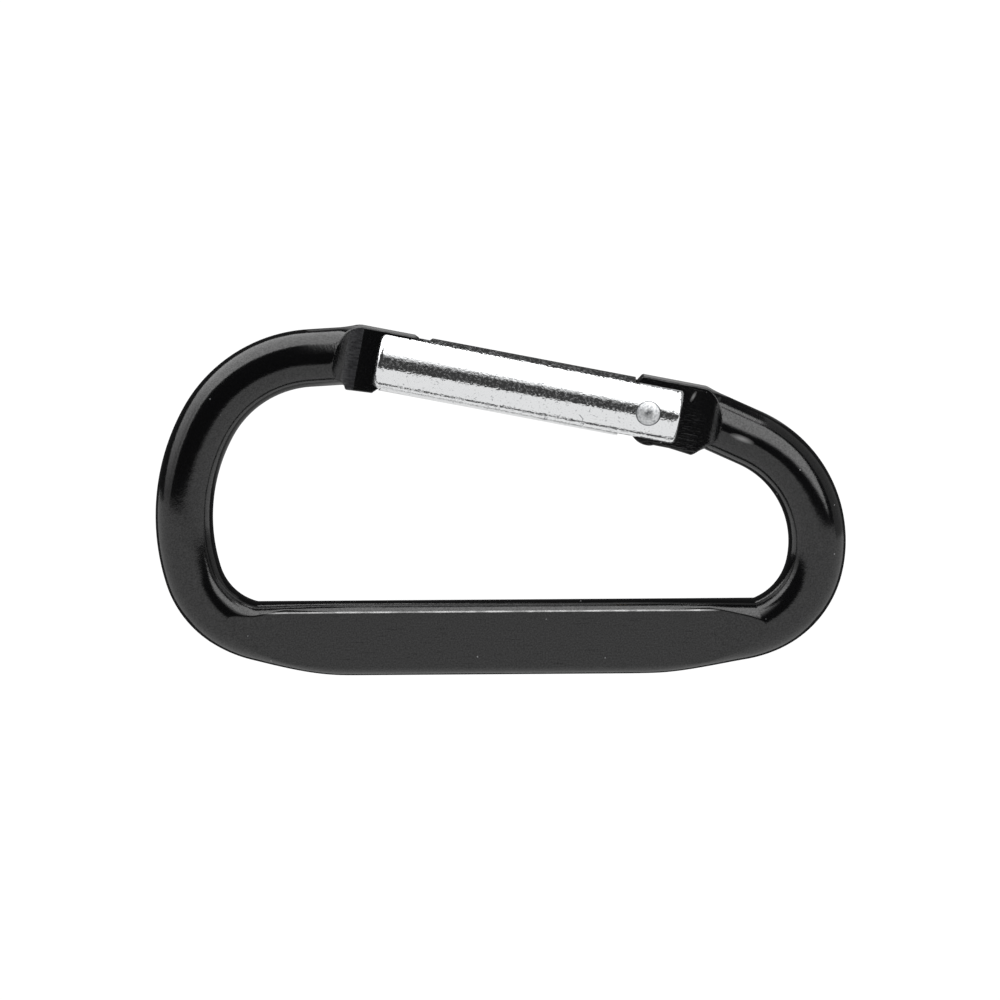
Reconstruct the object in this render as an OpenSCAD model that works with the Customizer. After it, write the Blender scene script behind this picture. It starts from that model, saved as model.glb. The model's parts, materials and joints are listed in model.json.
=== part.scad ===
// Small D-shaped carabiner clip with a sprung gate that opens inwards.
// It lies flat: the loop is in the XY plane, the spine along -Y, the gate along +Y
// and the gate's hinge towards +X. The origin is at the middle of the bottom.

/* [Bent bar] */
// Diameter of the round bar that the loop is bent from
bar_d = 5; // [4:0.1:6.5]
// Length of the straight middle of the spine
spine_l = 23.1; // [16:0.1:36]
// Nose end: radius of the slow curve that leaves the spine
nose_r1 = 53; // [40:1:80]
// Nose end: radius of the tight lower bend
nose_r2 = 7; // [6:0.1:9]
// Nose end: radius of the long side curve
nose_r3 = 17.2; // [14:0.1:22]
// Nose end: radius of the upper bend
nose_r4 = 10.8; // [8:0.1:14]
// Nose end: length of the straight run up to the gate's line
nose_run = 4.1; // [3:0.1:6]
// Hinge end: radius of the slow curve that leaves the spine
hinge_r1 = 111; // [80:1:150]
// Hinge end: radius of the tight lower bend
hinge_r2 = 7.2; // [6:0.1:9]
// Hinge end: radius of the upper bend
hinge_r3 = 9.9; // [8:0.1:12]
// Hinge end: length of the straight run up to the gate's line
hinge_run = 3.1; // [2:0.1:6]

/* [Pressed spine] */
// Thickness of the spine between its two pressed faces
spine_t = 3; // [2.4:0.1:3.6]
// Width of the spine after pressing
spine_w = 6.56; // [5.8:0.02:7.4]
// Radius of the rounded long edges of the pressed spine
edge_r = 1.75; // [1.6:0.05:1.9]
// Nose end: from the straight spine to where the pressed face starts to rise
press_nose = 6.4; // [5:0.1:7.5]
// Hinge end: from the straight spine to where the pressed face starts to rise
press_hinge = 7.4; // [6:0.1:8.5]
// Length over which the pressed face rises out of the round bar
press_run = 5; // [4:0.1:6]
// Length over which the outer edge of the spine widens from the round bar
spread = 10; // [8:0.1:11]

/* [Tongues] */
// Thickness of the flat tongue at each end of the bar
tongue_t = 2.3; // [1.9:0.05:2.6]
// Radius of the hollow that joins each tongue to the round bar
shoulder_r = 2.4; // [2:0.1:3]
// Outer edge of the nose tongue, from the gate's line
nose_out = 2.6; // [2.3:0.05:2.9]
// Inner edge of the nose tongue, from the gate's line
nose_in = 2.95; // [2.7:0.05:3.2]
// How far the outer corner of the nose tongue reaches into the gate
nose_reach = 3.3; // [2.6:0.1:4]
// How far the inner corner of the nose tongue reaches into the gate
nose_heel = 0.75; // [0.5:0.05:1.1]
// Outer edge of the hinge tongue, from the gate's line
hinge_out = 2.95; // [2.6:0.05:3.2]
// Inner edge of the hinge tongue, from the gate's line
hinge_in = 2.8; // [2.6:0.02:3]
// Radius of the round heel that pushes the plunger
heel_r = 1.8; // [1.7:0.02:1.9]
// Distance from the rivet to the centre of the round heel
heel_offset = 1.2; // [1:0.05:1.3]

/* [Gate] */
// Diameter of the gate
gate_d = 5.3; // [4.9:0.1:6.5]
// From the rivet to the end of the gate at the hinge
gate_tail = 2.8; // [2.5:0.1:3]
// Radius of the rounded ends of the gate
gate_end_r = 0.55; // [0.2:0.05:0.7]
// Angle through which the gate opens
gate_open = 38.5; // [32:0.5:40]
// From the rivet to where the bar meets the gate's line at the hinge
hinge_set = 6.2; // [6:0.1:7]
// Gap between the nose end of the gate and where the bar meets the gate's line
nose_gap = 1.75; // [1.6:0.05:2.2]
// Clearance on each side of a tongue in its slot
slot_play = 0.1; // [0.06:0.01:0.15]
// Clearance of the open gate where the heel stops it
open_play = 0.03; // [0.01:0.01:0.06]
// Length of the nose slot along the outer side of the gate
nose_slot = 4.5; // [4.2:0.1:5.5]
// Clearance of the closed gate at the nose tongue's inner corner
stop_play = 0.09; // [0.05:0.01:0.2]

/* [Rivet] */
// Diameter of the rivet's shank
rivet_d = 1.6; // [1.3:0.1:2]
// Running clearance of the rivet in the hinge tongue, on the radius
rivet_play = 0.05; // [0.03:0.01:0.08]
// Diameter of the rivet's heads
head_d = 2.15; // [2:0.05:2.6]
// How far each head stands out of the gate
head_h = 0.25; // [0.15:0.05:0.5]
// Depth of the flat seat under each head
seat_h = 0.3; // [0.2:0.05:0.4]

/* [Spring and plunger] */
// Diameter of the bore for the spring
bore_d = 3; // [2.8:0.1:3.2]
// Depth of the bore past the rivet
bore_l = 14; // [11:0.5:16]
// Thickness of the plunger's head
plunger_h = 0.7; // [0.6:0.05:1]
// Diameter of the plunger's stem
stem_d = 1.2; // [1:0.1:1.5]
// Length of the plunger's stem inside the spring
stem_l = 3; // [2:0.1:4]
// Gap between the plunger and the heel of the hinge tongue
heel_play = 0.02; // [0.01:0.01:0.04]
// Clearance of the plunger and the spring in the bore, on the radius
bore_play = 0.08; // [0.05:0.01:0.1]
// Diameter of the spring's wire
wire_d = 0.4; // [0.3:0.05:0.45]
// Number of turns in the spring
turns = 11; // [8:1:14]

/* [Hidden] */
$fn = 96;

bar_r = bar_d / 2;
gate_r = gate_d / 2;
bore_r = bore_d / 2;
cut = 20;

// Sides of the bar's rings, and the most they turn or advance from one ring to the next
ring_n = 32;
ring_turn = 6;
ring_gap = 1.1;

// How far the round bar runs on inside each tongue's root
nose_root = 0.6;
hinge_root = 1.5;

// Arcs of each end of the bar, as [radius, angle], from the spine towards the gate
nose_arcs = [[nose_r1, 9.5], [nose_r2, 63.5], [nose_r3, 46.4], [nose_r4, 57.4]];
hinge_arcs = [[hinge_r1, 5.3], [hinge_r2, 70.9], [hinge_r3, 79.3]];

// Direction of a heading, its left-hand normal, and a mirror image in X
function dir(h) = [cos(h), sin(h)];
function left(h) = [-sin(h), cos(h)];
function flip(p) = [-p[0], p[1]];

// Point and heading after the first n arcs, starting at the end of the spine
function after(arcs, n) =
    n == 0 ? [[spine_l / 2, 0], 0] :
    let (s = after(arcs, n - 1), r = arcs[n - 1][0], a = arcs[n - 1][1])
    [s[0] + r * left(s[1]) - r * left(s[1] + a), s[1] + a];

// End of the straight run after all the arcs
function run_end(arcs, run) =
    let (s = after(arcs, len(arcs)))
    s[0] + run * dir(s[1]);

// Spine and gate line: the gate's line joins the ends of the two straight runs
nose_end = flip(run_end(nose_arcs, nose_run));
hinge_end = run_end(hinge_arcs, hinge_run);
gate_line = nose_end - hinge_end;
gate_angle = atan2(gate_line[1], gate_line[0]);
pivot = hinge_end + hinge_set * dir(gate_angle);
nose_at = norm(gate_line) - hinge_set;
gate_nose = nose_at - nose_gap;

// Feet of the two shoulders along the gate's line
nose_foot = nose_at - 0.25;
hinge_foot = -hinge_set + 1.95;

// The bore of the hinge tongue sits at the pivot; the heel starts 20 degrees short of square
heel_lead = 20;
heel_c = heel_offset * [-sin(heel_lead), -cos(heel_lead)];
heel_face = heel_c[0] + heel_r;

// Corners of the nose tongue along and across the gate's line
nose_tip = gate_nose - nose_reach;
nose_corner = gate_nose - nose_heel;
corner_v = nose_in - 0.65;
nose_shape = [
    [nose_tip, nose_out - 0.2],
    [nose_tip + 0.4, nose_out],
    [nose_foot + 0.25, nose_out],
    [nose_foot + 1.05, nose_out - 0.15],
    [nose_foot + 1.9, nose_out - 1],
    [nose_foot + 1.6, -nose_in + 0.1],
    [nose_foot + 0.8, -nose_in - 0.1],
    [nose_corner + 0.6, -nose_in + 0.05],
    [nose_corner, -corner_v],
];

// Corners of the hinge tongue; its round heel is added as a disc
hinge_shape = [
    [heel_face, heel_c[1]],
    [heel_face, hinge_out - 0.65],
    [heel_face - 0.4, hinge_out],
    [hinge_foot - 0.6, hinge_out],
    [hinge_foot - 1.4, hinge_out - 0.4],
    [hinge_foot - 2.1, hinge_out - 1.2],
    [hinge_foot - 1, -hinge_in + 0.4],
    [hinge_foot, -hinge_in - 0.15],
    [hinge_foot + 1.85, -hinge_in],
    [heel_c[0], -hinge_in],
];

// Slot for the nose tongue: its sloping floor stops the gate at the tongue's inner corner
slope = (nose_corner - nose_tip) / (corner_v + nose_out - 0.2);
floor_in = nose_corner - stop_play * sqrt(1 + slope * slope) + (gate_r - corner_v) * slope;
nose_slot_shape = [
    [gate_nose - nose_slot, gate_r + 0.01],
    [gate_nose - nose_slot, gate_r + 1],
    [gate_nose + 1, gate_r + 1],
    [gate_nose + 1, -gate_r - 1],
    [floor_in, -gate_r - 1],
    [floor_in, -gate_r],
];

// Slot for the hinge tongue: the heel's crown meets its floor when the gate is fully open
heel_travel = heel_offset * (sin(gate_open - heel_lead) + sin(heel_lead));
hinge_slot = heel_face + heel_travel + open_play;
hinge_slot_out = heel_face + 0.16;
hinge_slot_shape = [
    [-gate_tail - 1, gate_r + 1],
    [hinge_slot_out, gate_r + 1],
    [hinge_slot_out, hinge_out - 0.6],
    [hinge_slot, 0.5],
    [hinge_slot, -gate_r - 1],
    [-gate_tail - 1, -gate_r - 1],
];

// Where the plunger's head starts, and how the gate seats the rivet
plunger_at = heel_face + heel_play;
seat_play = 0.02;

// Steps round the spring's coil and round its wire
coil_n = 24;
wire_n = 8;

// How far the pressing has gone, from none at 0 to all at 1
function eased(x) =
    let (t = max(0, min(1, x)))
    t * t * (3 - 2 * t);

// Point and heading at a distance s along one end of the bar, from the end of the spine
function along(arcs, s, i = 0) =
    i == len(arcs) ?
    let (e = after(arcs, i))
    [e[0] + s * dir(e[1]), e[1]] :
    let (r = arcs[i][0], arc_l = arcs[i][1] * PI / 180 * r)
    s > arc_l ? along(arcs, s - arc_l, i + 1) :
    let (e = after(arcs, i), a = s / r * 180 / PI)
    [e[0] + r * left(e[1]) - r * left(e[1] + a), e[1] + a];

// Places along one end of the bar where a ring is set
function arc_length(arcs, n) = n == 0 ? 0 : arc_length(arcs, n - 1) + arcs[n - 1][1] * PI / 180 * arcs[n - 1][0];
function stops(arcs, run) = concat(
    [for (i = [0:len(arcs) - 1])
        let (n = ceil(max(arcs[i][1] / ring_turn, (i == 0 ? arc_length(arcs, 1) / ring_gap : 1))))
        for (k = [0:n - 1]) arc_length(arcs, i) + k / n * (arc_length(arcs, i + 1) - arc_length(arcs, i))],
    [arc_length(arcs, len(arcs)), arc_length(arcs, len(arcs)) + run]
);

// Distance from the bar's middle to its inner edge: the spine's inner edge is one straight
// line that runs into the bend
function inner_half(at) =
    at[1] > 60 ? bar_r : max(bar_r, (spine_w / 2 - at[0][1]) / cos(at[1]));

// One ring of the bar: round in the bends, wide with rounded edges along the spine
function ring(arcs, s, tip) =
    let (
        at = along(arcs, s),
        n = left(at[1]),
        pressed = eased((tip - s) / spread),
        r = bar_r + (edge_r - bar_r) * pressed,
        d_in = inner_half(at) - r,
        d_out = bar_r + (spine_w / 2 - bar_r) * pressed - r
    )
    [for (k = [0:ring_n - 1])
        let (
            a = k * 360 / ring_n,
            side = (sin(a) > 0.001 ? d_in : 0) - (sin(a) < -0.001 ? d_out : 0),
            p = at[0] + (side + r * sin(a)) * n
        )
        [p[0], p[1], r * cos(a)]];

// The middle of the whole clip, seen from above, and its lowest point
trace = 0.5;
function side_points(arcs) = [
    for (i = [0:len(arcs) - 1], a = [0:trace:arcs[i][1]])
        let (s = after(arcs, i), r = arcs[i][0])
        s[0] + r * left(s[1]) - (r + bar_r) * left(s[1] + a)
];
function on_gate(p) = pivot + p[0] * dir(gate_angle) - p[1] * left(gate_angle);
corners = concat(
    [for (p = side_points(nose_arcs)) flip(p)],
    side_points(hinge_arcs),
    [for (p = nose_shape) on_gate(p)]
);
min_x = min([for (p = corners) p[0]]);
max_x = max([for (p = corners) p[0]]);
max_y = max([for (p = corners) p[1]]);
min_y = -spine_w / 2;
rest_z = gate_r + head_h;

// Moves the loop from its spine to the middle of the clip
module placed() {
    translate([-(min_x + max_x) / 2, -(min_y + max_y) / 2, rest_z]) children();
}

// Moves a piece from the gate's own line to its place: +X along the gate towards the nose,
// +Y outwards, the origin at the rivet
module on_gate_line() {
    placed() translate(pivot) rotate(gate_angle) mirror([0, 1, 0]) children();
}

// The whole bent bar, ring by ring from the nose end through the spine to the hinge end
module bent_bar() {
    nose_stops = stops(nose_arcs, nose_run + nose_root);
    hinge_stops = stops(hinge_arcs, hinge_run + hinge_root);
    rings = concat(
        [for (i = [len(nose_stops) - 1:-1:0])
            [for (p = ring(nose_arcs, nose_stops[i], press_nose + press_run)) [-p[0], p[1], p[2]]]],
        [for (s = hinge_stops) ring(hinge_arcs, s, press_hinge + press_run)]
    );
    last = len(rings) - 1;
    polyhedron(
        points = [for (r = rings) for (p = r) p],
        faces = concat(
            [[for (k = [ring_n - 1:-1:0]) k]],
            [for (i = [0:last - 1], k = [0:ring_n - 1])
                [i * ring_n + k, i * ring_n + (k + 1) % ring_n, (i + 1) * ring_n + k]],
            [for (i = [0:last - 1], k = [0:ring_n - 1])
                [i * ring_n + (k + 1) % ring_n, (i + 1) * ring_n + (k + 1) % ring_n, (i + 1) * ring_n + k]],
            [[for (k = [0:ring_n - 1]) last * ring_n + k]]
        )
    );
}

// What the press takes off one face of the spine, with a slope at each end
module press() {
    nose_x = -spine_l / 2 - press_nose;
    hinge_x = spine_l / 2 + press_hinge;
    rise = bar_r - spine_t / 2;
    above = 1.4;
    translate([0, bar_d, spine_t / 2])
        rotate([90, 0, 0])
            linear_extrude(height = 2 * bar_d)
                polygon([
                    [nose_x, 0],
                    [hinge_x, 0],
                    [hinge_x + above * press_run, above * rise],
                    [nose_x - above * press_run, above * rise],
                ]);
}

// What is taken off one face of a tongue, up to the foot of its shoulder
module shoulder_cut() {
    translate([0, cut / 2, tongue_t / 2])
        rotate([90, 0, 0])
            linear_extrude(height = cut) {
                translate([-cut / 2, 0]) square([cut / 2, cut / 2]);
                translate([0, shoulder_r]) circle(r = shoulder_r);
            }
}

// Tongue outline, thick enough to reach the round bar at its shoulder
module tongue() {
    linear_extrude(height = spine_t + 0.2, center = true) children();
}

module body() {
    color([0.09, 0.09, 0.1])
    difference() {
        union() {
            placed() bent_bar();
            on_gate_line() tongue() polygon(nose_shape);
            on_gate_line() tongue() {
                polygon(hinge_shape);
                translate(heel_c) circle(r = heel_r);
            }
        }
        for (side = [0, 1]) {
            placed() mirror([0, 0, side]) press();
            on_gate_line() mirror([0, 0, side]) {
                translate([nose_foot, 0, 0]) shoulder_cut();
                translate([hinge_foot, 0, 0]) mirror([1, 0, 0]) shoulder_cut();
            }
        }
        on_gate_line() cylinder(r = rivet_d / 2 + rivet_play, h = cut, center = true);
    }
}

// Solid rod with rounded ends, drilled from the hinge end and slotted for both tongues
module gate() {
    slot_w = tongue_t + 2 * slot_play;
    color([0.82, 0.83, 0.85])
    difference() {
        on_gate_line() gate_rod();
        on_gate_line() {
            linear_extrude(height = slot_w, center = true) polygon(hinge_slot_shape);
            translate([-gate_tail - 1, 0, 0]) rotate([0, 90, 0]) cylinder(r = bore_r, h = gate_tail + 1 + bore_l);
            translate([bore_l - 0.01, 0, 0]) rotate([0, 90, 0]) cylinder(r1 = bore_r, r2 = 0, h = bore_r * 0.6);
            linear_extrude(height = slot_w, center = true) polygon(nose_slot_shape);
            cylinder(r = rivet_d / 2 + seat_play, h = cut, center = true);
            for (side = [0, 1]) mirror([0, 0, side])
                translate([0, 0, gate_r - seat_h]) cylinder(r = head_d / 2 + seat_play, h = 2);
        }
    }
}

// The gate's outer shape, turned about its own line
module gate_rod() {
    rotate([0, 90, 0])
        rotate_extrude() {
            translate([0, -gate_tail + gate_end_r]) square([gate_r, gate_nose + gate_tail - 2 * gate_end_r]);
            translate([0, -gate_tail]) square([gate_r - gate_end_r, gate_nose + gate_tail]);
            for (z = [-gate_tail + gate_end_r, gate_nose - gate_end_r])
                translate([gate_r - gate_end_r, z]) circle(r = gate_end_r);
        }
}

// Rivet with a low dome at each end, fixed in the gate and turning in the hinge tongue
module rivet() {
    rim = seat_h * 0.5;
    dome = head_h + seat_h - rim;
    ball = (pow(head_d / 2, 2) + pow(dome, 2)) / (2 * dome);
    color([0.75, 0.76, 0.78])
    on_gate_line() {
        cylinder(r = rivet_d / 2, h = gate_d - 2 * seat_h + 0.1, center = true);
        for (side = [0, 1]) mirror([0, 0, side])
            translate([0, 0, gate_r - seat_h])
                rotate_extrude()
                    intersection() {
                        square([head_d / 2, rim + dome]);
                        translate([0, rim + dome - ball]) circle(r = ball);
                    }
    }
}

// Headed pin that the spring holds against the heel of the hinge tongue
module plunger() {
    color([0.7, 0.66, 0.55])
    on_gate_line() translate([plunger_at, 0, 0]) rotate([0, 90, 0]) {
        cylinder(r = bore_r - bore_play, h = plunger_h);
        cylinder(r = stem_d / 2, h = plunger_h + stem_l);
    }
}

// Compression spring between the plunger's head and the blind end of the bore
module spring() {
    coil_r = bore_r - bore_play - wire_d / 2;
    start = plunger_at + plunger_h + wire_d / 2 + 0.01;
    length = bore_l - wire_d / 2 - 0.01 - start;
    count = turns * coil_n;
    rings = [for (i = [0:count])
        let (a = i * 360 / coil_n, x = start + length * rise_at(i / coil_n))
        [for (k = [0:wire_n - 1])
            let (b = k * 360 / wire_n, r = coil_r + wire_d / 2 * cos(b))
            [x + wire_d / 2 * sin(b), r * cos(a), r * sin(a)]]];
    color([0.6, 0.61, 0.63])
    on_gate_line()
        polyhedron(
            points = [for (r = rings) for (p = r) p],
            faces = concat(
                [[for (k = [wire_n - 1:-1:0]) k]],
                [for (i = [0:count - 1], k = [0:wire_n - 1])
                    [i * wire_n + k, i * wire_n + (k + 1) % wire_n, (i + 1) * wire_n + k]],
                [for (i = [0:count - 1], k = [0:wire_n - 1])
                    [i * wire_n + (k + 1) % wire_n, (i + 1) * wire_n + (k + 1) % wire_n, (i + 1) * wire_n + k]],
                [[for (k = [0:wire_n - 1]) count * wire_n + k]]
            )
        );
}

// Share of the spring's length reached after t turns: the first and last turns lie closed
function rise_at(t) =
    let (closed = wire_d * 1.03, length = bore_l - plunger_at - plunger_h - wire_d)
    let (end = min(t, 1) + max(0, min(1, t - (turns - 1))), open = max(0, min(turns - 2, t - 1)))
    (end * closed + open * (length - 2 * closed) / (turns - 2)) / length;

body();
gate();
rivet();
plunger();
spring();
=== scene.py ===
# %% [markdown]
# # A small spring-gate clip
# The clip is one piece of black anodised aluminium bar, bent into a D, pressed flat along its spine
# and at both ends, and a bright aluminium gate that turns on a rivet. A plunger and a coil spring
# inside the gate push it shut. Every piece here is a surface worked out with numpy, in metres, in
# the same place as the CAD piece that it stands for.

# %% Start from the CAD frame
import json
import math
from collections import namedtuple
from functools import partial

import bpy
import numpy as np
from mathutils import Matrix, Vector

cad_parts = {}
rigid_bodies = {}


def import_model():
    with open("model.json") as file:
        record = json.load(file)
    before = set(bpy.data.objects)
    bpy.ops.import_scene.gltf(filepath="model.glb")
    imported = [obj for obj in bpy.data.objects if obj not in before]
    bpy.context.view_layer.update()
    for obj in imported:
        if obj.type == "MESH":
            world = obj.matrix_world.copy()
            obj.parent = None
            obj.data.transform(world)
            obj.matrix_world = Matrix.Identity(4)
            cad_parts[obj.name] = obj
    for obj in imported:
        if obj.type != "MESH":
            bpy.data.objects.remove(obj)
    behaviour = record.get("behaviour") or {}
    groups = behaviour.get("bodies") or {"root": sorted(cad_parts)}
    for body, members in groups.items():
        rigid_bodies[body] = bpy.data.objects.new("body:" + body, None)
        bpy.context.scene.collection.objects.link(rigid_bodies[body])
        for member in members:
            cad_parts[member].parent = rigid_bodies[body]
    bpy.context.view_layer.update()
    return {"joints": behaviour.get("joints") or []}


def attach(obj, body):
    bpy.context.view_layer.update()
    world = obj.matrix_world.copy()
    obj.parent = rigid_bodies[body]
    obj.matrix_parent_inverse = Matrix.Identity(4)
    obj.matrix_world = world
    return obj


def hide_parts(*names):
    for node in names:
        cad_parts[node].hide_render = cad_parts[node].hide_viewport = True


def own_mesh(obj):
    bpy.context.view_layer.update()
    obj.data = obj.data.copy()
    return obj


for leftover in list(bpy.data.objects):
    bpy.data.objects.remove(leftover)
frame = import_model()
MM = 0.001

# %% [markdown]
# ## Camera
# The clip is looked at almost from straight above, leaning a little towards the gate's side, from
# half a metre away. A long lens keeps it free of perspective, and the camera is rolled by half a
# degree because the clip doesn't lie quite level in view.

# %% Camera
SPAN, DISTANCE, SENSOR = 86.9 * MM, 500 * MM, 36 * MM
LEAN, ROLL = math.radians(7.2), math.radians(0.4)
MIDDLE_Z, ASIDE = 2.9 * MM, 0.05 * MM

camera = bpy.data.objects.new("camera", bpy.data.cameras.new("camera"))
bpy.context.scene.collection.objects.link(camera)
bpy.context.scene.camera = camera
camera.data.sensor_width = SENSOR / MM
camera.data.lens = SENSOR / SPAN * DISTANCE / MM
camera.data.clip_start, camera.data.clip_end = 10 * MM, 10
back = Vector((0, math.sin(LEAN), math.cos(LEAN)))
up = Vector((math.sin(ROLL), math.cos(LEAN), -math.sin(LEAN))).normalized()
right = up.cross(back).normalized()
up = back.cross(right)
target = Vector((0, 0, MIDDLE_Z)) - ASIDE * right
turned_so = Matrix((right, up, back)).transposed().to_4x4()
camera.matrix_world = Matrix.Translation(target + DISTANCE * back) @ turned_so
bpy.context.scene.view_settings.view_transform = "Standard"
print("lens, mm:", round(camera.data.lens, 1))

# %% [markdown]
# ## Where the gate turns
# The hinge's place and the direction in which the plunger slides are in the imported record, so
# everything on the gate is placed from them. U runs along the gate from the rivet to the nose, V
# across it towards the outside, and the third axis is up.

# %% The gate's own axes
joints = {j["name"]: j for j in frame["joints"]}
PIVOT = np.array(joints["gate_hinge"]["pos_m"])
ALONG = np.array(joints["plunger_slide"]["axis"])
ALONG /= np.linalg.norm(ALONG)
OUTWARD = np.array([ALONG[1], -ALONG[0], 0.0])
UPWARD = np.array([0, 0, 1.0])
MID_Z = PIVOT[2]


def gate_point(u, v, z):
    """A point u along the gate from the rivet, v outwards and z up from the clip's middle plane:
    pivot + u along + v outward."""
    u, v, z = np.broadcast_arrays(u, v, z)
    return PIVOT + u[..., None] * ALONG + v[..., None] * OUTWARD + z[..., None] * UPWARD


print("gate direction, degrees:", round(math.degrees(math.atan2(ALONG[1], ALONG[0])), 2))

# %% [markdown]
# ## Turning arrays into meshes
# A surface is a grid of points: rows that follow each other along the piece, and columns that close
# round it. One helper joins the columns into a tube, closes each end with a single face, and merges
# nothing, because the rows are exact.


# %% Grid to mesh
def tube_faces(rows, columns):
    """Quads between each row and the next, the last column joined to the first, and one many-sided
    face at each end."""
    i, k = np.meshgrid(np.arange(rows - 1), np.arange(columns), indexing="ij")
    n = (k + 1) % columns
    here, after = i * columns, (i + 1) * columns
    quads = np.stack([here + k, here + n, after + n, after + k], -1).reshape(-1, 4)
    first = list(range(columns - 1, -1, -1))
    last = list(range((rows - 1) * columns, rows * columns))
    return quads.tolist() + [first, last]


def places(mesh):
    """Where a mesh's points are, one row to a point."""
    spots = np.empty(len(mesh.vertices) * 3)
    mesh.vertices.foreach_get("co", spots)
    return spots.reshape(-1, 3)


def enclosed(mesh):
    """Signed volume inside a closed mesh: a sixth of the sum of p . (q x r) over its triangles,
    negative if it is inside out."""
    mesh.calc_loop_triangles()
    tris = np.empty(len(mesh.loop_triangles) * 3, np.int32)
    mesh.loop_triangles.foreach_get("vertices", tris)
    corners = places(mesh)
    corners -= corners.mean(0)
    p, q, r = (corners[tris.reshape(-1, 3)[:, i]] for i in range(3))
    return float(np.einsum("ij,ij->i", p, np.cross(q, r)).sum()) / 6


def make_piece(name, points, faces, sharp=40):
    """A mesh from points and faces, smooth except where two faces meet at more than the sharp
    angle, in degrees."""
    mesh = bpy.data.meshes.new(name)
    mesh.from_pydata(np.asarray(points).reshape(-1, 3).tolist(), [], faces)
    mesh.validate()
    if enclosed(mesh) < 0:
        mesh.flip_normals()
    piece = bpy.data.objects.new(name, mesh)
    bpy.context.scene.collection.objects.link(piece)
    smooth_by_angle(piece, sharp)
    return piece


def smooth_by_angle(piece, sharp):
    """Smooth shading, with the edges whose faces meet at more than the sharp angle marked sharp."""
    mesh = piece.data
    mesh.shade_smooth()
    mesh.set_sharp_from_angle(angle=math.radians(sharp))


def turned(profile, columns, place):
    """A surface of revolution: each (distance along the axis, radius) of the profile is a ring, and
    place(a, x, y) puts it."""
    profile = np.asarray(profile, float)
    angle = np.arange(columns) * 2 * np.pi / columns
    a, r = profile[:, :1], profile[:, 1:]
    return place(a + 0 * angle, r * np.cos(angle), r * np.sin(angle))


def cut(piece, cutters, sharp):
    """Takes closed cutters out of a closed piece, applies the result and drops the cutters."""
    for cutter in cutters:
        modifier = piece.modifiers.new("cut", "BOOLEAN")
        modifier.operation, modifier.solver, modifier.object = "DIFFERENCE", "MANIFOLD", cutter
    bpy.context.view_layer.update()
    graph = bpy.context.evaluated_depsgraph_get()
    done = bpy.data.meshes.new_from_object(piece.evaluated_get(graph))
    piece.modifiers.clear()
    piece.data = done
    for cutter in cutters:
        bpy.data.objects.remove(cutter)
    smooth_by_angle(piece, sharp)
    print(piece.name, "after its cuts:", len(done.polygons), "faces")


# %% [markdown]
# ## The bent bar
# The body starts as round bar 5 mm across. It follows a straight spine and two ends made of arcs
# that grow tighter and wider again, then runs straight up to the line of the gate. A path made of
# arcs is exact: the heading turns evenly with the distance along it.

# %% Sizes of the bar
BAR_R = 2.5 * MM
SPINE_L = 23.1 * MM
SPINE_T, SPINE_W, EDGE_R = 3 * MM, 6.56 * MM, 1.75 * MM
PRESS_NOSE, PRESS_HINGE, PRESS_RUN, SPREAD = 6.4 * MM, 7.4 * MM, 5 * MM, 10 * MM
TONGUE_T, SHOULDER_R = 2.3 * MM, 2.4 * MM
NOSE_ARCS = [(53, 9.5), (7, 63.5), (17.2, 46.4), (10.8, 57.4)]
HINGE_ARCS = [(111, 5.3), (7.2, 70.9), (9.9, 79.3)]
NOSE_RUN, HINGE_RUN, HINGE_SET = 4.1 * MM, 3.1 * MM, 6.2 * MM


def arc_path(arcs, s):
    """Point and heading at distance s from the end of the spine. On an arc of radius r the heading
    grows by s / r, and the point moves by r times the change in (sine, -cosine) of the heading;
    before and after the arcs it runs straight."""
    s = np.array(s, float)
    x, y, heading = np.full_like(s, SPINE_L / 2), np.zeros_like(s), np.zeros_like(s)
    for radius, degrees in arcs:
        r = radius * MM
        turn = np.clip(s, 0, math.radians(degrees) * r) / r
        x = x + r * (np.sin(heading + turn) - np.sin(heading))
        y = y + r * (np.cos(heading) - np.cos(heading + turn))
        heading = heading + turn
        s = s - turn * r
    return x + s * np.cos(heading), y + s * np.sin(heading), heading


def arcs_length(arcs):
    """The sum of radius times angle."""
    return sum(r * MM * math.radians(a) for r, a in arcs)


def flat_end(arcs, run, mirror):
    """The plan point and direction where one end's straight run stops."""
    x, y, h = arc_path(arcs, np.array([arcs_length(arcs) + run]))
    return np.array([mirror * x[0], y[0]]), np.array([mirror * math.cos(h[0]), math.sin(h[0])])


nose_end, nose_way = flat_end(NOSE_ARCS, NOSE_RUN, -1)
hinge_end, hinge_way = flat_end(HINGE_ARCS, HINGE_RUN, 1)
SHIFT = PIVOT[:2] - (hinge_end + HINGE_SET * ALONG[:2])
NOSE_AT = np.linalg.norm(nose_end - hinge_end) - HINGE_SET
GATE_NOSE = NOSE_AT - 1.75 * MM
NOSE_FOOT, HINGE_FOOT = NOSE_AT - 0.25 * MM, 1.95 * MM - HINGE_SET
TONGUES_FROM = 14 * MM
print("spine to frame shift, mm:", np.round(SHIFT / MM, 3))
print("nose end along the gate, mm:", round(NOSE_AT / MM, 3))

# %% [markdown]
# ## Pressing and shoulders
# The press leaves two flat faces 3 mm apart along the spine, which slope up to the round bar at
# each end. At each end of the bar a round-nosed tool leaves a tongue 2.3 mm thick with a hollow
# shoulder. Both are a ceiling: the highest that the metal may stand at each place in plan. A
# section of the bar is the round shape under that ceiling.


# %% The ceiling over each place
def eased(x):
    """A smooth step from 0 to 1: 3 x squared minus 2 x cubed."""
    x = np.clip(x, 0, 1)
    return x * x * (3 - 2 * x)


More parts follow.
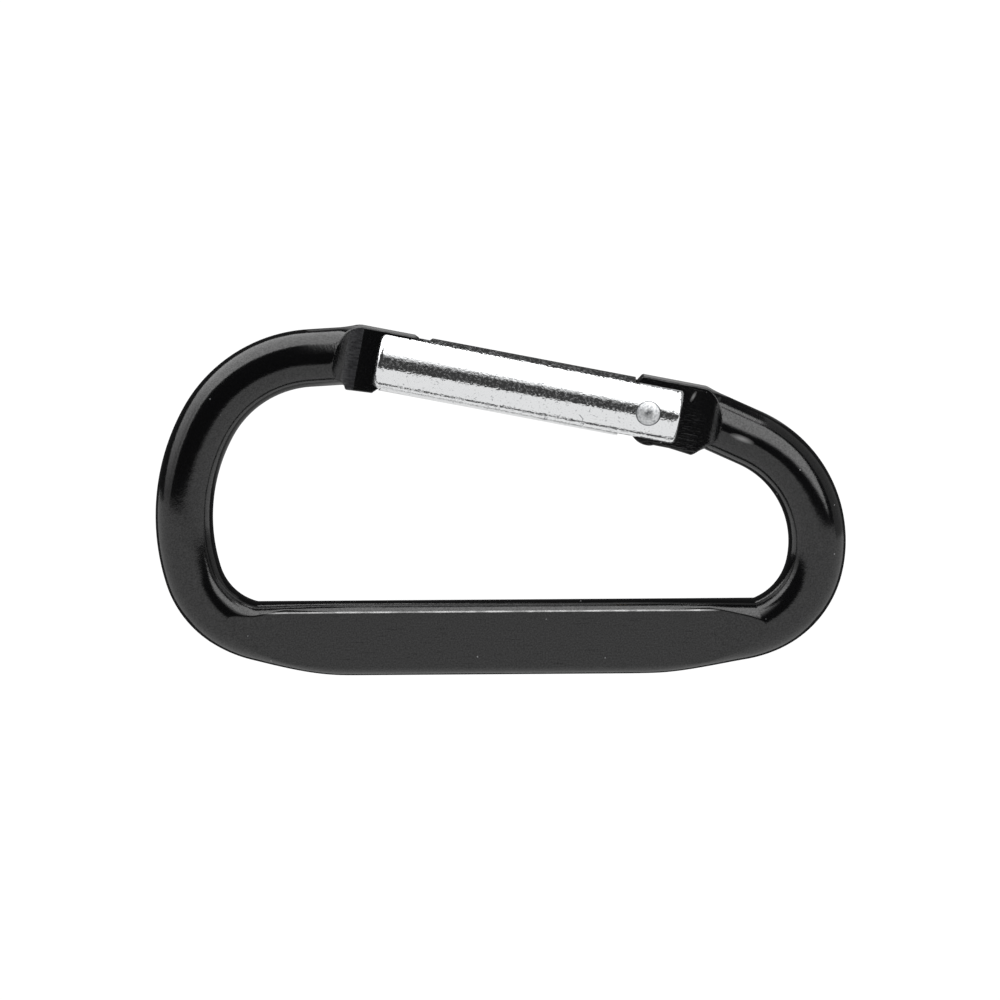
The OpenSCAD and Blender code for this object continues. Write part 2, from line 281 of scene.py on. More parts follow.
def ceiling(plan):
    """Half the thickness that the tools leave at plan points: the pressed flat and its slopes, and
    the round hollow of each shoulder, a circle of the shoulder's radius that touches the
    tongue's face at its foot."""
    x = plan[..., 0] - SHIFT[0]
    beyond = np.maximum(0, np.maximum(x - SPINE_L / 2 - PRESS_HINGE, -x - SPINE_L / 2 - PRESS_NOSE))
    high = SPINE_T / 2 + beyond * (BAR_R - SPINE_T / 2) / PRESS_RUN
    y = plan[..., 1] - SHIFT[1]
    high = np.where(y < TONGUES_FROM, high, 2 * BAR_R)
    u = (plan - PIVOT[:2]) @ ALONG[:2]
    depth = np.where(u > NOSE_AT / 2, u - NOSE_FOOT, HINGE_FOOT - u)
    inside = np.clip(depth, 0, SHOULDER_R)
    hollow = TONGUE_T / 2 + SHOULDER_R - np.sqrt(SHOULDER_R**2 - inside**2)
    at_tongue = (depth < SHOULDER_R) & (y > TONGUES_FROM)
    high = np.where(at_tongue, np.minimum(high, hollow), high)
    return high


# %% [markdown]
# ## Sections
# Each section has an inner and an outer side. A side is a flank, an arc that bulges like the round
# bar or stands upright like a tongue's edge, a small rounding where the flank meets the ceiling,
# and the top. The rounding matters more than its size suggests: a real edge always catches a thin
# line of light.

# %% One side of many sections
TOP_N, ROUND_N, FLANK_N = 9, 5, 15


def flank_side(z, width, bulge, radius):
    """How far out a flank is at height z: its width less bulge times (1 - square root of (1 - z
    squared / radius squared))."""
    return width - bulge * (1 - np.sqrt(np.maximum(0, 1 - (z / radius) ** 2)))


def round_top(side, width, bulge, radius):
    """The height at which the flank's arc stands over a distance from the middle: its inverse, and
    the full radius inside it."""
    inward = np.clip((width - side) / np.maximum(bulge, 1e-9), 0, 1)
    return radius * np.sqrt(1 - (1 - inward) ** 2)


def half_side(centre, way, width, bulge, radius, edge):
    """Upper quarter of many sections at once, from the middle of the top out to the widest point,
    as (distance out, height)."""
    def over(side):
        return ceiling(centre + side[..., None] * way)

    crease_z = np.full_like(width, 1.0 * MM)
    for _ in range(6):
        crease = flank_side(crease_z, width, bulge, radius)
        crease_z = np.minimum(over(crease), radius * math.cos(0.06))
    crease = flank_side(crease_z, width, bulge, radius)
    flatness = np.clip((radius - over(crease)) / (0.08 * MM), 0.12, 1)
    reach = np.minimum(edge * flatness, 0.4 * np.maximum(crease, 0.01 * MM))
    root = np.sqrt(np.maximum(1e-6, 1 - (crease_z / radius) ** 2))
    steep = -bulge * crease_z / (radius**2 * root)
    flank_z = crease_z - reach / np.sqrt(1 + steep**2)
    top_side = crease - reach
    top = top_side[:, None] * np.linspace(0, 1, TOP_N)
    top_z = np.minimum(ceiling(centre[:, None] + top[..., None] * way[:, None]),
                       round_top(top, width[:, None], bulge[:, None], radius[:, None]))
    flank_start = flank_side(flank_z, width, bulge, radius)
    t = np.linspace(0, 1, ROUND_N + 2)[1:-1]
    pull = (1 - t) ** 2, 2 * t * (1 - t), t**2
    bend = pull[0] * top_side[:, None] + pull[1] * crease[:, None] + pull[2] * flank_start[:, None]
    bend_z = pull[0] * top_z[:, -1:] + pull[1] * crease_z[:, None] + pull[2] * flank_z[:, None]
    steepest = np.arcsin(np.clip(flank_z / radius, 0, 1))
    z = radius[:, None] * np.sin(steepest[:, None] * np.linspace(1, 0, FLANK_N))
    side = flank_side(z, width[:, None], bulge[:, None], radius[:, None])
    return np.concatenate([top, bend, side], 1), np.concatenate([top_z, bend_z, z], 1)


def sections(centre, way, inner, outer, bulge_in, bulge_out, radius, edge):
    """Whole rings from their four quarters: top middle, out over the inner side, under, and back
    over the outer side."""
    side_i, z_i = half_side(centre, way, inner, bulge_in, radius, edge)
    side_o, z_o = half_side(centre, -way, outer, bulge_out, radius, edge)
    side = np.concatenate([side_i, side_i[:, -2::-1], -side_o[:, 1:], -side_o[:, -2:0:-1]], 1)
    z = np.concatenate([z_i, -z_i[:, -2::-1], -z_o[:, 1:], z_o[:, -2:0:-1]], 1)
    plan = centre[:, None] + side[..., None] * way[:, None]
    return np.concatenate([plan, MID_Z + z[..., None]], -1)


# %% [markdown]
# ## The body in one sweep
# The stations run from the tip of the nose tongue, down the nose side, along the spine and up to
# the heel of the hinge tongue. On the bar a station is square to the path. On a tongue it is square
# to the gate's line, between the tongue's two edges. Where a tongue grows out of the bar, the two
# kinds of station are blended, as the metal was when it was squeezed.

# %% Stations on the bar and on the tongues
NOSE_OUT, NOSE_IN = 2.6 * MM, 2.95 * MM
NOSE_TIP, NOSE_CORNER = GATE_NOSE - 3.3 * MM, GATE_NOSE - 0.75 * MM
HINGE_OUT, HINGE_IN = 2.95 * MM, 2.8 * MM
HEEL_LEAD, HEEL_R = math.radians(20), 1.8 * MM
HEEL_OFF = 1.2 * MM
HEEL_U, HEEL_V = -HEEL_OFF * math.sin(HEEL_LEAD), -HEEL_OFF * math.cos(HEEL_LEAD)
HEEL_FACE = HEEL_U + HEEL_R

# The corners of each tongue's outer and inner edge, as (u, v)
NOSE_OUTER = [(NOSE_TIP, NOSE_OUT - 0.2 * MM), (NOSE_TIP + 0.4 * MM, NOSE_OUT),
              (NOSE_FOOT + 0.25 * MM, NOSE_OUT), (NOSE_FOOT + 1.05 * MM, NOSE_OUT - 0.15 * MM),
              (NOSE_FOOT + 1.7 * MM, NOSE_OUT - 0.4 * MM)]
NOSE_INNER = [(NOSE_TIP, NOSE_OUT - 0.2 * MM), (NOSE_CORNER, 0.65 * MM - NOSE_IN),
              (NOSE_CORNER + 0.6 * MM, 0.05 * MM - NOSE_IN),
              (NOSE_FOOT + 0.8 * MM, -NOSE_IN - 0.1 * MM)]
HINGE_OUTER = [(HINGE_FOOT - 1.4 * MM, HINGE_OUT - 0.25 * MM), (HINGE_FOOT - 0.6 * MM, HINGE_OUT),
               (HEEL_FACE - 0.4 * MM, HINGE_OUT), (HEEL_FACE, HINGE_OUT - 0.65 * MM)]
HINGE_INNER = [(HINGE_FOOT - 1.15 * MM, 0.4 * MM - HINGE_IN),
               (HINGE_FOOT - 0.12 * MM, -HINGE_IN - 0.24 * MM),
               (HINGE_FOOT + 1.85 * MM, -HINGE_IN), (HEEL_U, -HINGE_IN)]


End = namedtuple("End", "arcs run press mirror at way")
NOSE_END = End(NOSE_ARCS, NOSE_RUN, PRESS_NOSE, -1, NOSE_AT, nose_way)
HINGE_END = End(HINGE_ARCS, HINGE_RUN, PRESS_HINGE, 1, -HINGE_SET, hinge_way)
print("heel of the hinge tongue, mm from the rivet:", round(HEEL_FACE / MM, 3))


def bar_stations(end, s):
    """Middle, inward direction, widths, bulge and flank radius at distances s: round bar, which the
    press widens towards the spine."""
    x, y, heading = arc_path(end.arcs, s)
    pressed = eased((end.press + PRESS_RUN - s) / SPREAD)
    radius = BAR_R + (EDGE_R - BAR_R) * pressed
    inner = np.maximum(BAR_R, (SPINE_W / 2 - y) / np.maximum(0.3, np.cos(heading)))
    inner = np.where(heading > math.radians(60), BAR_R, inner)
    outer = BAR_R + (SPINE_W / 2 - BAR_R) * pressed
    centre = np.stack([end.mirror * x, y], 1) + SHIFT
    way = np.stack([-end.mirror * np.sin(heading), np.cos(heading)], 1)
    return centre, way, inner, outer, radius


def edge(u, corners):
    """How far out an edge stands at u: straight lines between its corners, level past the ends."""
    at, out = zip(*corners)
    return np.interp(u, at, out)


def tongue_edges(u, nose):
    """Outer and inner edge of a tongue at distances u along the gate, with the hinge's round
    heel: its circle's centre less the square root of (radius squared less distance squared)."""
    if nose:
        return edge(u, NOSE_OUTER), edge(u, NOSE_INNER)
    low = edge(u, HINGE_INNER)
    heel = HEEL_V - np.sqrt(np.maximum(0, HEEL_R**2 - (u - HEEL_U) ** 2))
    low = np.where(u > HEEL_U - 0.6 * MM, np.minimum(low, heel), low)
    return edge(u, HINGE_OUTER), np.where(u > HEEL_U, heel, low)


def tongue_stations(u, nose):
    """Stations on a tongue and through its shoulder: the tongue's own edges, blended into round bar
    over a short length of root, which reaches further on the inner side of the hinge."""
    end = NOSE_END if nose else HINGE_END
    if nose:
        share = share_in = eased((NOSE_FOOT + 1.7 * MM - u) / (1.2 * MM))
    else:
        share, share_in = (eased((u - HINGE_FOOT + reach) / (0.9 * MM))
                           for reach in (1.2 * MM, 2.0 * MM))
    s = arcs_length(end.arcs) + end.run + (u - end.at) / float(end.way @ ALONG[:2])
    centre, bar_way, inner, outer, radius = bar_stations(end, s)
    outer_v, inner_v = tongue_edges(u, nose)
    share, share_in = share[:, None], share_in[:, None]
    level = np.zeros_like(u)
    edge_in = (share_in * gate_point(u, inner_v, level)[:, :2]
               + (1 - share_in) * (centre + inner[:, None] * bar_way))
    edge_out = (share * gate_point(u, outer_v, level)[:, :2]
                + (1 - share) * (centre - outer[:, None] * bar_way))
    centre = (edge_in + edge_out) / 2
    across = edge_in - edge_out
    across /= np.linalg.norm(across, axis=1, keepdims=True)
    inner = ((edge_in - centre) * across).sum(1)
    outer = ((centre - edge_out) * across).sum(1)
    return centre, across, inner, outer, radius, radius * (1 - share[:, 0])


def spaced(start, stop, step):
    """Even steps of about the given size, both ends included."""
    return np.linspace(start, stop, max(2, int(round(abs(stop - start) / step)) + 1))


# %% The body
EDGE = 0.13 * MM
SHOULDER_TOP = 2.6 * MM


def bar_end(end, foot_side):
    """Distances along one end of the bar, from the middle of the spine to where its shoulder's
    stations take over, finer where the pressed face runs out."""
    stop = arcs_length(end.arcs) + end.run + (foot_side - end.at) / float(end.way @ ALONG[:2])
    tip = end.press + PRESS_RUN
    return np.unique(np.round(np.concatenate([
        spaced(-SPINE_L / 2, 0, 1.2 * MM), spaced(0, stop, 0.24 * MM)[1:],
        spaced(tip - 0.9 * MM, tip + 0.5 * MM, 0.07 * MM)]), 8))


NEAR_TIP = np.array([0.02, 0.06, 0.12, 0.2, 0.3, 0.4]) * MM
nose_u = np.concatenate([
    NOSE_TIP + NEAR_TIP,
    spaced(NOSE_TIP + 0.55 * MM, NOSE_CORNER, 0.15 * MM),
    spaced(NOSE_CORNER + 0.1 * MM, NOSE_CORNER + 0.6 * MM, 0.1 * MM),
    spaced(NOSE_CORNER + 0.8 * MM, NOSE_FOOT - 0.1 * MM, 0.2 * MM),
    spaced(NOSE_FOOT, NOSE_FOOT + SHOULDER_TOP, 0.045 * MM),
])
hinge_u = np.concatenate([
    spaced(HINGE_FOOT - SHOULDER_TOP, HINGE_FOOT, 0.045 * MM),
    spaced(HINGE_FOOT + 0.2 * MM, HEEL_U - 0.2 * MM, 0.2 * MM),
    HEEL_U + HEEL_R * np.sin(np.linspace(0, 0.98, 14) * np.pi / 2),
    [HEEL_FACE],
])
nose_s = bar_end(NOSE_END, NOSE_FOOT + SHOULDER_TOP + 0.1 * MM)[::-1]
hinge_s = bar_end(HINGE_END, HINGE_FOOT - SHOULDER_TOP - 0.1 * MM)[1:]
parts = [tongue_stations(nose_u, True)]
for end, s in ((NOSE_END, nose_s), (HINGE_END, hinge_s)):
    stations = bar_stations(end, s)
    parts.append((*stations, stations[-1]))
parts.append(tongue_stations(hinge_u, False))
middle, way, inner, outer, radius, bulge = (np.concatenate(part) for part in zip(*parts))
rings = sections(middle, way, inner, outer, bulge, bulge, radius, EDGE)
print("body:", rings.shape[0], "rings of", rings.shape[1], "points")

body = make_piece("bent_bar", rings, tube_faces(*rings.shape[:2]), 35)


def upright(name, profile, columns=96):
    """A surface of revolution about the rivet's axis, from (height above the clip's middle plane,
    radius) pairs."""
    points = turned(profile, columns, lambda a, x, y: PIVOT + np.stack([x, y, a], -1))
    return make_piece(name, points, tube_faces(len(profile), columns))


def lengthwise(name, profile, columns=256, sharp=40):
    """A surface of revolution about the gate's own line, from (distance from the rivet, radius)
    pairs."""
    points = turned(profile, columns, lambda a, x, y: gate_point(a, x, y))
    return make_piece(name, points, tube_faces(len(profile), columns), sharp)


HINGE_BORE_R = 0.85 * MM
cut(body, [upright("bore", [(-3 * MM, HINGE_BORE_R), (3 * MM, HINGE_BORE_R)])], 35)

# %% [markdown]
# ## The gate
# The gate is a turned rod 5.3 mm across, its edges rounded by 0.55 mm at the nose and 0.35 mm at
# the hinge. It is slotted at both ends for the tongues, drilled from the hinge end for the spring,
# and cross-drilled for the rivet, with a flat seat under each rivet head. It is turned as a surface
# of revolution, and the slots and bores are cut with closed cutters, as a milling cutter and a
# drill would.

# %% Sizes of the gate
GATE_R, GATE_TAIL = 2.65 * MM, 2.8 * MM
NOSE_R, TAIL_R = 0.55 * MM, 0.35 * MM
SLOT_W = TONGUE_T + 0.2 * MM
BORE_R, BORE_L = 1.5 * MM, 14 * MM
RIVET_R, HEAD_R, HEAD_H, SEAT_H = 0.8 * MM, 1.075 * MM, 0.25 * MM, 0.3 * MM
SEAT_PLAY, STOP_PLAY = 0.02 * MM, 0.09 * MM
GATE_OPEN = math.radians(38.5)

corner_v = NOSE_IN - 0.65 * MM
slope = (NOSE_CORNER - NOSE_TIP) / (corner_v + NOSE_OUT - 0.2 * MM)
floor_in = NOSE_CORNER - STOP_PLAY * math.hypot(1, slope) + (GATE_R - corner_v) * slope
travel = HEEL_OFF * (math.sin(GATE_OPEN - HEEL_LEAD) + math.sin(HEEL_LEAD))
hinge_slot = HEEL_FACE + travel + 0.03 * MM


def prism(name, outline):
    """A closed block: an outline in the gate's own plane, carried from half a slot's width below
    the middle to half above."""
    outline = np.array(outline, float)
    walls = [gate_point(*outline.T, z) for z in (-SLOT_W / 2, SLOT_W / 2)]
    return make_piece(name, np.stack(walls), tube_faces(2, len(outline)))


def rounded(end, side, radius):
    """A rod's end, rounded: from its face out to its flank, as (distance, radius) pairs on a
    quarter circle. Side is 1 where the rod runs towards the nose from this end, and -1 at the
    other end."""
    return [(end + side * radius * (1 - math.cos(t)), GATE_R - radius * (1 - math.sin(t)))
            for t in np.linspace(0, np.pi / 2, 9)]


print("slots, mm wide:", round(SLOT_W / MM, 2), "hinge slot's floor at", round(hinge_slot / MM, 2))

# %% The gate
PAST = 1.5 * GATE_R
tail_end = rounded(-GATE_TAIL, 1, TAIL_R)
nose_round = rounded(GATE_NOSE, -1, NOSE_R)[::-1]
between = [(a, GATE_R) for a in spaced(-GATE_TAIL + TAIL_R, GATE_NOSE - NOSE_R, 2 * MM)[1:-1]]
gate = lengthwise("gate_rod", tail_end + between + nose_round)

nose_back, tail_past, heel_clear = GATE_NOSE - 4.5 * MM, -GATE_TAIL - MM, HEEL_FACE + 0.16 * MM
seat_r, drill_r = HEAD_R + SEAT_PLAY, RIVET_R + SEAT_PLAY
cutters = [
    prism("nose_slot", [
        (nose_back, GATE_R + 0.01 * MM), (nose_back, PAST), (GATE_NOSE + MM, PAST),
        (GATE_NOSE + MM, -PAST), (floor_in, -PAST), (floor_in, -GATE_R)]),
    prism("hinge_slot", [
        (tail_past, PAST), (heel_clear, PAST), (heel_clear, HINGE_OUT - 0.6 * MM),
        (hinge_slot, 0.5 * MM), (hinge_slot, -PAST), (tail_past, -PAST)]),
    lengthwise("drill", [(tail_past, BORE_R), (BORE_L, BORE_R),
                         (BORE_L + 0.6 * BORE_R, 0.02 * MM)], 96),
    upright("cross_drill", [(-PAST, drill_r), (PAST, drill_r)]),
    upright("seat_above", [(GATE_R - SEAT_H, seat_r), (PAST, seat_r)]),
    upright("seat_below", [(-PAST, seat_r), (SEAT_H - GATE_R, seat_r)]),
]
print("gate cut with:", [cutter.name for cutter in cutters])
cut(gate, cutters, 30)

# %% [markdown]
# ## The rivet
# The rivet is a plain shank with two low domes, hammered over in their seats. Peening leaves the
# middle of the dome slightly hollow and uneven, which breaks up what it reflects. Its unevenness is
# a few hundredths of a millimetre and only ever takes metal away.

# %% The rivet
RIM = SEAT_H / 2
dome_h = HEAD_H + SEAT_H - RIM
ball = (HEAD_R**2 + dome_h**2) / (2 * dome_h)
top_z = GATE_R + HEAD_H
dome_r = np.linspace(HEAD_R, 0.03 * MM, 24)
dome = [(top_z - ball + math.sqrt(ball**2 - r * r), r) for r in dome_r]
seat_z, EASE = GATE_R - SEAT_H, 0.03 * MM
head = [(seat_z, RIVET_R), (seat_z, HEAD_R - EASE), (seat_z + EASE, HEAD_R)] + dome
rivet = upright("rivet_peened", [(-z, r) for z, r in head[::-1]] + head, 96)

spots = places(rivet.data)
x, y, z = (spots - PIVOT).T
r = np.hypot(x, y)
hollow = 0.05 * MM * np.exp(-((r / (0.42 * MM)) ** 2))
waves = np.sin(x / (0.11 * MM) + 1.3 * np.sin(y / (0.17 * MM))) * np.sin(y / (0.13 * MM) + 0.7)
dents = 0.016 * MM * (waves + 1) * eased((HEAD_R - r) / (0.5 * MM))
spots[:, 2] -= np.where(np.abs(z) > seat_z + RIM, np.sign(z) * (hollow + dents), 0)
rivet.data.vertices.foreach_set("co", spots.ravel())
rivet.data.update()
smooth_by_angle(rivet, 40)
print("rivet dome, mm:", round(dome_h / MM, 3), "on a ball of radius", round(ball / MM, 3))

# %% [markdown]
# ## Plunger and spring
# The plunger is a small turned brass pin whose head rides on the heel of the hinge tongue. The
# spring is a helix of 0.4 mm wire, with its first and last turns closed. The wire is a circle
# carried along the helix, square to it.

# %% Plunger and spring
PLUNGER_AT, PLUNGER_H, PLUNGER_R = HEEL_FACE + 0.02 * MM, 0.7 * MM, BORE_R - 0.08 * MM
STEM_R, STEM_L, CHAMFER = 0.6 * MM, 3 * MM, 0.1 * MM
head_end, pin_end = PLUNGER_AT + PLUNGER_H, PLUNGER_AT + PLUNGER_H + STEM_L
plunger = lengthwise("plunger_turned", [
    (PLUNGER_AT, PLUNGER_R - CHAMFER), (PLUNGER_AT + CHAMFER, PLUNGER_R), (head_end, PLUNGER_R),
    (head_end, STEM_R), (pin_end - CHAMFER, STEM_R), (pin_end, STEM_R - CHAMFER)], 96, 30)

WIRE_R, TURNS, STEPS, SIDES = 0.2 * MM, 11, 40, 12
COIL_R = PLUNGER_R - WIRE_R
start, stop = head_end + WIRE_R + 0.01 * MM, BORE_L - WIRE_R - 0.01 * MM


def risen(t):
    """How far the helix has moved after t turns: one closed turn at each end, and the rest shared
    evenly between."""
    closed = 2 * WIRE_R * 1.03
    pitch = (stop - start - 2 * closed) / (TURNS - 2)
    at_ends = np.clip(t, 0, 1) + np.clip(t - TURNS + 1, 0, 1)
    return closed * at_ends + pitch * np.clip(t - 1, 0, TURNS - 2)


t = np.linspace(0, TURNS, TURNS * STEPS + 1)[:, None]
w = np.arange(SIDES)[None] * 2 * np.pi / SIDES
rise = np.gradient(risen(t[:, 0]), t[:, 0])[:, None] / (2 * np.pi)
lean = np.arctan2(rise, COIL_R)
out, side = WIRE_R * np.cos(w), WIRE_R * np.sin(w)
a = start + risen(t) + side * np.cos(lean)
turn = 2 * np.pi * t
x = (COIL_R + out) * np.cos(turn) + side * np.sin(lean) * np.sin(turn)
y = (COIL_R + out) * np.sin(turn) - side * np.sin(lean) * np.cos(turn)
spring = make_piece("spring_coil", gate_point(a, x, y), tube_faces(len(t), SIDES), 60)
uncoiled = float(np.hypot(2 * np.pi * COIL_R * TURNS, stop - start))
print("spring wire, mm:", round(uncoiled / MM), "long if uncoiled")

# %% [markdown]
# ## What was made
# A closed piece encloses a volume, which shows at once whether a cut failed or a piece is inside
# out.

# %% Volumes
for piece in (body, gate, rivet, plunger, spring):
    volume = enclosed(piece.data) / MM**3
    print(piece.name, "mm3:", round(volume, 1), "triangles:", len(piece.data.loop_triangles))

# %% [markdown]
# ## Which skin is where
# The press and the milling cutter leave other skins than the drawn bar, under the same black film.
# Each point of the body says how it was worked: pressed where it lies on the spine's flat, milled
# where it lies on a tongue or in a shoulder's hollow. Along the inner edge of the flat the film is
# rubbed thin, as it is on every clip that has hung from a belt.

# %% How each point of the body was worked
spots = places(body.data)
roof, height = ceiling(spots[:, :2]), np.abs(spots[:, 2] - MID_Z)
flat = (height > roof - 0.02 * MM) & (roof < BAR_R)
near_tongue = spots[:, 1] - SHIFT[1] > TONGUES_FROM
for name, value in (("pressed", flat & ~near_tongue), ("milled", flat & near_tongue)):
    attribute = body.data.attributes.new(name, "FLOAT", "POINT")
    attribute.data.foreach_set("value", np.asarray(value, np.float32))
    print(name, "points:", int(np.count_nonzero(value)))
CREASE_Y = SHIFT[1] + SPINE_W / 2 - EDGE_R + math.sqrt(EDGE_R**2 - (SPINE_T / 2) ** 2)
print("crease along the flat's inner edge at y, mm:", round(CREASE_Y / MM, 3))

# %% [markdown]
# ## Materials
# A finish is built from a few nodes, added by one small function. Colours are given as they look on
# a screen and turned to linear light. Patterns are placed by Object coordinates, which are metres
# here, so a pattern's scale is the number of its features to the millimetre, divided by a
# millimetre.


# %% Colours and nodes
def linear(code):
    """A hex colour as linear light: c / 12.92 below 0.04045, and ((c + 0.055) / 1.055) to the power
    2.4 above."""
    parts = [int(code[i:i + 2], 16) / 255 for i in (1, 3, 5)]
    return [c / 12.92 if c <= 0.04045 else ((c + 0.055) / 1.055) ** 2.4 for c in parts] + [1.0]


def join(node, links):
    """Brings other nodes' outputs to a node's inputs: a node's first output, or the one that a
    (node, output) pair names."""
    for key, source in dict(links).items():
        other, output = source if isinstance(source, tuple) else (source, 0)
        node.id_data.links.new(other.outputs[output], node.inputs[key])


def add(tree, kind, settings=(), links=()):
    """One node. A setting is an input, by name or number, or a property of the node. Inputs 1 to 4
    of a MapRange are the range that it reads and the range that it gives."""
    node = tree.nodes.new("ShaderNode" + kind)
    for key, value in dict(settings).items():
        if isinstance(key, int) or key in node.inputs:
            node.inputs[key].default_value = value
        else:
            setattr(node, key, value)
    join(node, links)
    return node


def finish(name, **surface):
    """A material, its Principled surface with constants set, the Object coordinates that its
    patterns read, and the adding function bound to its tree."""
    material = bpy.data.materials.new(name)
    material.use_nodes = True
    shader = material.node_tree.nodes["Principled BSDF"]
    for key, value in surface.items():
        shader.inputs[key.replace("_", " ")].default_value = value
    node = partial(add, material.node_tree)
    return material, shader, (node("TexCoord"), "Object"), node


def per_mm(count):
    """A pattern's scale for so many features to the millimetre."""
    return count / MM


TIMES, PLUS = {"operation": "MULTIPLY"}, {"operation": "ADD"}
GATE_TURN = math.atan2(ALONG[1], ALONG[0])
print("linear mid grey:", round(linear("#808080")[0], 4), "gate turned by", round(GATE_TURN, 4))

# %% [markdown]
# ### Black anodised aluminium
# Anodising grows a hard clear oxide, dyed black and sealed. It reflects like glass over a black
# ground: about a twentieth of what faces it, and more at a glancing angle. The bar keeps the fine
# draw of its surface, the pressed flat is a little grainy with faint drags along it, and the milled
# hollows keep tool lines that run along the bar. The grain is really finer and is drawn 0.13 mm
# wide so that it shows.

# %% Black: patterns
black, shader, where, node = finish("black_anodised_aluminium", IOR=1.58)
pressed = node("Attribute", {"attribute_name": "pressed"}), "Fac"
milled = node("Attribute", {"attribute_name": "milled"}), "Fac"
along = node("Mapping", {"Rotation": (0, 0, -GATE_TURN)}, {"Vector": where})
lined = node("Mapping", {"Scale": (0.2, 1.0, 1.0)}, {"Vector": along})
drawn = node("Mapping", {"Scale": (0.09, 1.0, 1.0)}, {"Vector": where})
grain = node("TexNoise", {"Scale": per_mm(7.5), "Detail": 2.0, "Roughness": 0.6}, {"Vector": where})
peel = node("TexNoise", {"Scale": per_mm(0.9), "Detail": 3.0}, {"Vector": where})
lines = node("TexNoise", {"Scale": per_mm(6.5), "Detail": 2.0}, {"Vector": lined})
drags = node("TexNoise", {"Scale": per_mm(5.2), "Detail": 2.0}, {"Vector": drawn})
for name, scale in (("grain", 7.5), ("peel", 0.9), ("tool lines", 6.5)):
    print(name, "mm:", round(1 / scale, 2))

# %% [markdown]
# Dust and tiny chips show as sparse light specks, in about one in eight of the cells of a
# millimetre. The rubbed line along the flat's inner edge is very slightly metallic, more in some
# places than in others, and ends with the flat.

# %% Black: specks and the rubbed line
specks = node("TexVoronoi", {"Scale": per_mm(1), "Randomness": 1.0}, {"Vector": where})
lot = node("SeparateColor", (), {"Color": (specks, "Color")})
chosen = node("MapRange", {1: 0.87, 2: 0.88}, {0: lot})
speck = node("MapRange", {1: 0.035, 2: 0.09, 3: 1.0, 4: 0.0}, {0: specks})
speck = node("Math", TIMES, {0: speck, 1: chosen})

place = node("SeparateXYZ", (), {"Vector": where})
off_line = node("Math", {"operation": "SUBTRACT", 1: CREASE_Y + 0.02 * MM}, {0: (place, "Y")})
off_line = node("Math", {"operation": "ABSOLUTE"}, {0: off_line})
off_middle = node("Math", {"operation": "SUBTRACT", 1: SHIFT[0]}, {0: (place, "X")})
off_middle = node("Math", {"operation": "ABSOLUTE"}, {0: off_middle})
half_flat = SPINE_L / 2 + PRESS_NOSE
on_line = node("MapRange", {1: 0.02 * MM, 2: 0.09 * MM, 3: 1.0, 4: 0.0}, {0: off_line})
on_flat = node("MapRange", {1: half_flat, 2: half_flat + 2 * MM, 3: 1.0, 4: 0.0}, {0: off_middle})
patchy = node("MapRange", {1: 0.35, 2: 0.6, 3: 0.025, 4: 0.05}, {0: peel})
worn = node("Math", TIMES, {0: on_line, 1: on_flat})
worn = node("Math", TIMES, {0: worn, 1: patchy})
print("rubbed line, mm either side of the middle:", round(half_flat / MM, 2))

# %% [markdown]
# Two scuffs on the hinge's side are soft streaks: the distance from a scuff's middle, measured in a
# space that is squeezed along the way in which it lies.

# %% Black: scuffs
# Each one's middle in mm, the way it lies in degrees, width over length, half its width in mm, and
# how bare it is.
for middle_mm, lies, slim, half_wide, bareness in (((20.9, 5.5, 5.3), -22, 0.25, 0.3, 0.014),
                                                   ((16.74, 9.04, 4.05), 60, 0.3, 0.17, 0.012)):
    turn = math.radians(-lies)
    at = Matrix.Rotation(turn, 3, "Z") @ Vector(middle_mm) * MM
    away = node("Mapping", {"Rotation": (0, 0, turn)}, {"Vector": where})
    away = node("Mapping", {"Scale": (slim, 1.0, slim),
                            "Location": (-slim * at.x, -at.y, -slim * at.z)}, {"Vector": away})
    away = node("VectorMath", {"operation": "LENGTH"}, {0: away}), "Value"
    scuff = node("MapRange", {2: half_wide * MM, 3: bareness, 4: 0.0}, {0: away})
    worn = node("Math", PLUS, {0: worn, 1: scuff})
    print("scuff, mm:", round(2 * half_wide, 2), "by", round(2 * half_wide / slim, 2))

# %% [markdown]
# On the nose a painted highlight lies as a lighter band across the foot of the shoulder, on the
# slope the cutter left. It is measured along the gate from the shoulder's foot, and streaked by the
# tool lines.

# %% Black: the painted shoulder highlight and the colour
u_here = node("SeparateXYZ", (), {"Vector": along})
u_here = node("Math", {"operation": "SUBTRACT", 1: float(PIVOT @ ALONG) + NOSE_FOOT}, {0: u_here})
begun = node("MapRange", {1: -0.03 * MM, 2: 0.03 * MM}, {0: u_here})
not_past = node("MapRange", {1: 1.15 * MM, 2: 1.3 * MM, 3: 1.0, 4: 0.0}, {0: u_here})
streaks = node("MapRange", {1: 0.35, 2: 0.65, 3: 0.45, 4: 1.0}, {0: lines})
# Painted highlight: a lighter band over about the first 1.2 mm of the nose shoulder's slope,
# streaked by the real tool lines.
painted_shoulder_highlight = node("Math", TIMES, {0: begun, 1: not_past})
painted_shoulder_highlight = node("Math", TIMES, {0: painted_shoulder_highlight, 1: streaks})
painted_shoulder_highlight = node("Math", TIMES, {0: painted_shoulder_highlight, 1: milled})

bare = node("MapRange", {2: 0.05}, {0: worn})
shade = node("Mix", {"data_type": "RGBA", 6: linear("#040405"), 7: linear("#8d8d8f")}, {0: speck})
# Painted highlight: the nose shoulder's band is painted a lighter grey.
shade = node("Mix", {"data_type": "RGBA", 7: linear("#3b3b3d")}, {0: painted_shoulder_highlight, 6: (shade, 2)})
shade = node("Mix", {"data_type": "RGBA", 7: linear("#f0f0f0")}, {0: bare, 6: (shade, 2)})

# %% [markdown]
# How much the oxide mirrors varies with the grain, and less comes back along the drags. The drawn
# bar is glossy and the pressed and milled skins are duller. Three bumps follow each other: a faint
# peel all over, the grain, and the tool lines where the metal was milled.

